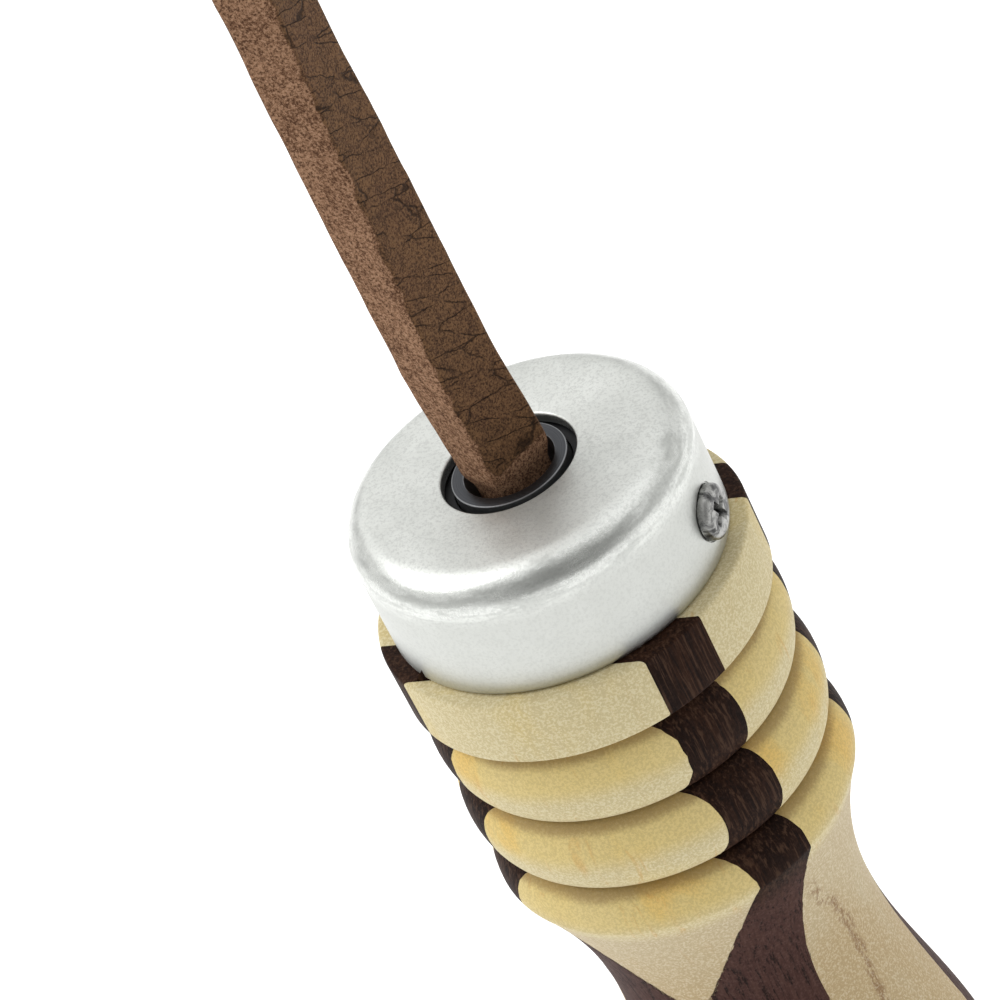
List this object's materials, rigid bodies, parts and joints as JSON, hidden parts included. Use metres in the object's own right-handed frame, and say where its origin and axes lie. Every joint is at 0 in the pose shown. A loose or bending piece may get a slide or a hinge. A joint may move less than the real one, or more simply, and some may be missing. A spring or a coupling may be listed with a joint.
{
  "type": "fly swatter",
  "caption": "Leather fly swatter: turned laminated wooden handle, aluminium bearing cap, and a twisted leather strap that spins and carries a punched flap.",
  "frame": {"origin": "centre of the flat face on the handle's butt", "axes": "+Z along the handle's axis from the butt to the flap, -Y out of the handle's front board and the flap's front, +X towards the cap screw that shows"},
  "size_m": [0.0896, 0.042, 0.507],
  "materials": {
    "light_wood": "turned and oiled pale yellow hardwood, satin",
    "dark_wood": "turned and oiled dark red-brown hardwood with fine open pores, satin",
    "satin_aluminium": "lightly frosted, satin",
    "screw_steel": "zinc-plated, worn at the edges",
    "bearing_steel": "ground, lightly oiled",
    "black_shield": "blackened",
    "cage_steel": "pressed",
    "ball_steel": "polished",
    "brown_leather": "thick, grain face creased, cut edges paler and fibrous",
    "copper": "hammered copper, lightly aged"
  },
  "bodies": {
    "handle": {"front_board_upper": "light_wood", "front_board_lower": "light_wood", "front_dark_board": "dark_wood", "centre_board": "light_wood", "back_dark_board": "dark_wood", "back_board": "light_wood", "bearing_cap": "satin_aluminium", "cap_screw_right": "screw_steel", "cap_screw_left": "screw_steel", "bearing_outer_ring": "bearing_steel", "upper_shield": "black_shield", "lower_shield": "black_shield"},
    "shaft": {"bearing_inner_ring": "bearing_steel", "leather_strap": "brown_leather", "strap_washer": "screw_steel", "strap_pin": "screw_steel"},
    "cage": {"ball_cage": "cage_steel", "ball_1": "ball_steel", "ball_2": "ball_steel", "ball_3": "ball_steel", "ball_4": "ball_steel", "ball_5": "ball_steel", "ball_6": "ball_steel", "ball_7": "ball_steel", "ball_8": "ball_steel", "ball_9": "ball_steel", "ball_10": "ball_steel", "ball_11": "ball_steel"},
    "head": {"strap_tip": "brown_leather", "leather_flap": "brown_leather", "rivet_1": "copper", "rivet_2": "copper", "rivet_3": "copper", "rivet_burr_1": "copper", "rivet_burr_2": "copper", "rivet_burr_3": "copper"}
  },
  "joints": [
    {"name": "swivel", "type": "hinge", "parent": "handle", "child": "shaft", "pos_m": [0, 0, 0.1762], "axis": [0, 0, 1], "continuous": true},
    {"name": "cage_orbit", "type": "hinge", "parent": "handle", "child": "cage", "pos_m": [0, 0, 0.1762], "axis": [0, 0, 1], "continuous": true},
    {"name": "head_flex", "type": "hinge", "parent": "shaft", "child": "head", "pos_m": [0, 0, 0.384], "axis": [1, 0, 0], "range_deg": [-30, 30], "stiffness_Nm_per_rad": 0.3}
  ],
  "couplings": [
    {"joint": "cage_orbit", "follows": "swivel", "ratio": 0.4179}
  ]
}
